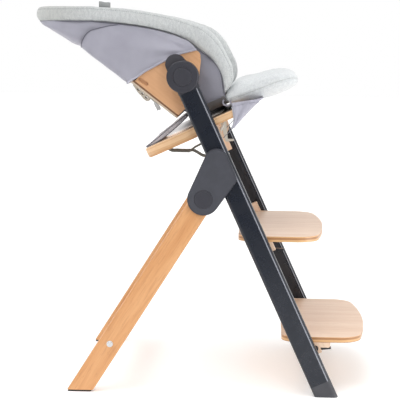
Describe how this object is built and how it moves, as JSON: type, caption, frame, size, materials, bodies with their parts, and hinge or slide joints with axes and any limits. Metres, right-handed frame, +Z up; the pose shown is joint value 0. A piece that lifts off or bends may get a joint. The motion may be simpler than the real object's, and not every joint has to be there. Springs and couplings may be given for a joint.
{
  "type": "baby high chair",
  "caption": "Folding A-frame high chair with a seat board, footrests on notched rails and a padded newborn recliner insert on a plywood backrest.",
  "frame": {"origin": "on the floor, under the middle of the chair's overall box", "axes": "+Z up, +X the way the child faces, +Y the child's left"},
  "size_m": [0.768, 0.538, 0.853],
  "materials": {
    "charcoal_paint": "satin charcoal lacquer over beech",
    "dark_plastic": "fine moulded texture",
    "black_plastic": "moulded, matt",
    "pale_plastic": "moulded, satin",
    "beech": "clear lacquered solid beech",
    "plywood": "clear lacquered plywood, face veneer and striped edges",
    "steel": "zinc plated",
    "rubber": "matt",
    "heather_jersey": "light grey heather jersey over padding",
    "lilac_grey_fabric": "smooth coated weave, lilac grey",
    "webbing": "woven polyester webbing",
    "pale_webbing": "woven polyester webbing, pale grey",
    "label_cloth": "blank woven label",
    "red_plastic": "smooth"
  },
  "bodies": {
    "frame": {"front_leg_left": "charcoal_paint", "front_leg_right": "charcoal_paint", "adjustment_rail_left": "black_plastic", "adjustment_rail_right": "black_plastic", "foot_cap_left": "dark_plastic", "foot_cap_right": "dark_plastic", "knob_housing_left": "dark_plastic", "knob_housing_right": "dark_plastic", "hinge_cover_outer_left": "dark_plastic", "hinge_cover_outer_right": "dark_plastic", "hinge_cover_inner_left": "dark_plastic", "hinge_cover_inner_right": "dark_plastic", "fold_pin_left": "steel", "fold_pin_right": "steel", "front_crossbar": "charcoal_paint", "button_springs": "steel"},
    "rear_legs": {"rear_leg_left": "beech", "rear_leg_right": "beech", "rear_foot_pad_left": "rubber", "rear_foot_pad_right": "rubber", "rear_crossbar": "beech", "crossbar_bolts": "steel"},
    "backrest": {"back_panel": "plywood", "side_wing_left": "plywood", "side_wing_right": "plywood", "recline_adaptor_left": "dark_plastic", "recline_adaptor_right": "dark_plastic", "insert_shell": "lilac_grey_fabric", "insert_rim": "heather_jersey", "insert_liner": "heather_jersey", "leg_rest": "heather_jersey", "rim_label": "label_cloth", "harness_straps": "webbing", "harness_buckle": "black_plastic", "webbing_adjusters": "pale_plastic", "webbing_tails": "pale_webbing"},
    "seat": {"seat_board": "plywood", "seat_cheek_left": "beech", "seat_cheek_right": "beech", "seat_pad": "heather_jersey", "front_apron": "lilac_grey_fabric", "rear_strap": "lilac_grey_fabric", "under_seat_webbing": "webbing"},
    "upper_footrest": {"upper_footrest_board": "plywood", "upper_cheek_left": "beech", "upper_cheek_right": "beech"},
    "lower_footrest": {"lower_footrest_board": "plywood", "lower_cheek_left": "beech", "lower_cheek_right": "beech"},
    "seat_release": {"seat_release_levers": "pale_plastic"},
    "upper_release": {"upper_release_levers": "black_plastic"},
    "lower_release": {"lower_release_levers": "black_plastic"},
    "knob_push_left": {"knob_button_left": "dark_plastic"},
    "knob_push_right": {"knob_button_right": "dark_plastic"},
    "fold_push_left": {"fold_button_left": "dark_plastic"},
    "fold_push_right": {"fold_button_right": "dark_plastic"},
    "buckle_push": {"buckle_button": "red_plastic"}
  },
  "joints": [
    {"name": "rear_leg_fold", "type": "hinge", "parent": "frame", "child": "rear_legs", "pos_m": [0.018, 0, 0.4328], "axis": [0, -1, 0], "range_deg": [0, 56.5]},
    {"name": "backrest_recline", "type": "hinge", "parent": "frame", "child": "backrest", "pos_m": [-0.0302, 0, 0.69462], "axis": [0, -1, 0], "range_deg": [0, 8]},
    {"name": "seat_height", "type": "slide", "parent": "frame", "child": "seat", "axis": [-0.4202, 0, 0.9074], "range_m": [-0.07, 0]},
    {"name": "upper_footrest_height", "type": "slide", "parent": "frame", "child": "upper_footrest", "axis": [-0.4202, 0, 0.9074], "range_m": [-0.07, 0.07]},
    {"name": "lower_footrest_height", "type": "slide", "parent": "frame", "child": "lower_footrest", "axis": [-0.4202, 0, 0.9074], "range_m": [-0.035, 0.07]},
    {"name": "seat_lever_pull", "type": "hinge", "parent": "seat", "child": "seat_release", "pos_m": [0.04449, 0, 0.56666], "axis": [0, -1, 0], "range_deg": [0, 12], "stiffness_Nm_per_rad": 0.5},
    {"name": "upper_lever_pull", "type": "hinge", "parent": "upper_footrest", "child": "upper_release", "pos_m": [0.15838, 0, 0.32076], "axis": [0, -1, 0], "range_deg": [0, 12], "stiffness_Nm_per_rad": 0.5},
    {"name": "lower_lever_pull", "type": "hinge", "parent": "lower_footrest", "child": "lower_release", "pos_m": [0.267, 0, 0.101], "axis": [0, -1, 0], "range_deg": [0, 12], "stiffness_Nm_per_rad": 0.5},
    {"name": "knob_press_left", "type": "slide", "parent": "frame", "child": "knob_push_left", "axis": [0, -1, 0], "range_m": [0, 0.004], "stiffness_N_per_m": 600},
    {"name": "knob_press_right", "type": "slide", "parent": "frame", "child": "knob_push_right", "axis": [0, 1, 0], "range_m": [0, 0.004], "stiffness_N_per_m": 600},
    {"name": "fold_press_left", "type": "slide", "parent": "frame", "child": "fold_push_left", "axis": [0, -1, 0], "range_m": [0, 0.004], "stiffness_N_per_m": 600},
    {"name": "fold_press_right", "type": "slide", "parent": "frame", "child": "fold_push_right", "axis": [0, 1, 0], "range_m": [0, 0.004], "stiffness_N_per_m": 600},
    {"name": "buckle_press", "type": "slide", "parent": "backrest", "child": "buckle_push", "axis": [0.4067, 0, -0.9135], "range_m": [0, 0.003], "stiffness_N_per_m": 500}
  ]
}
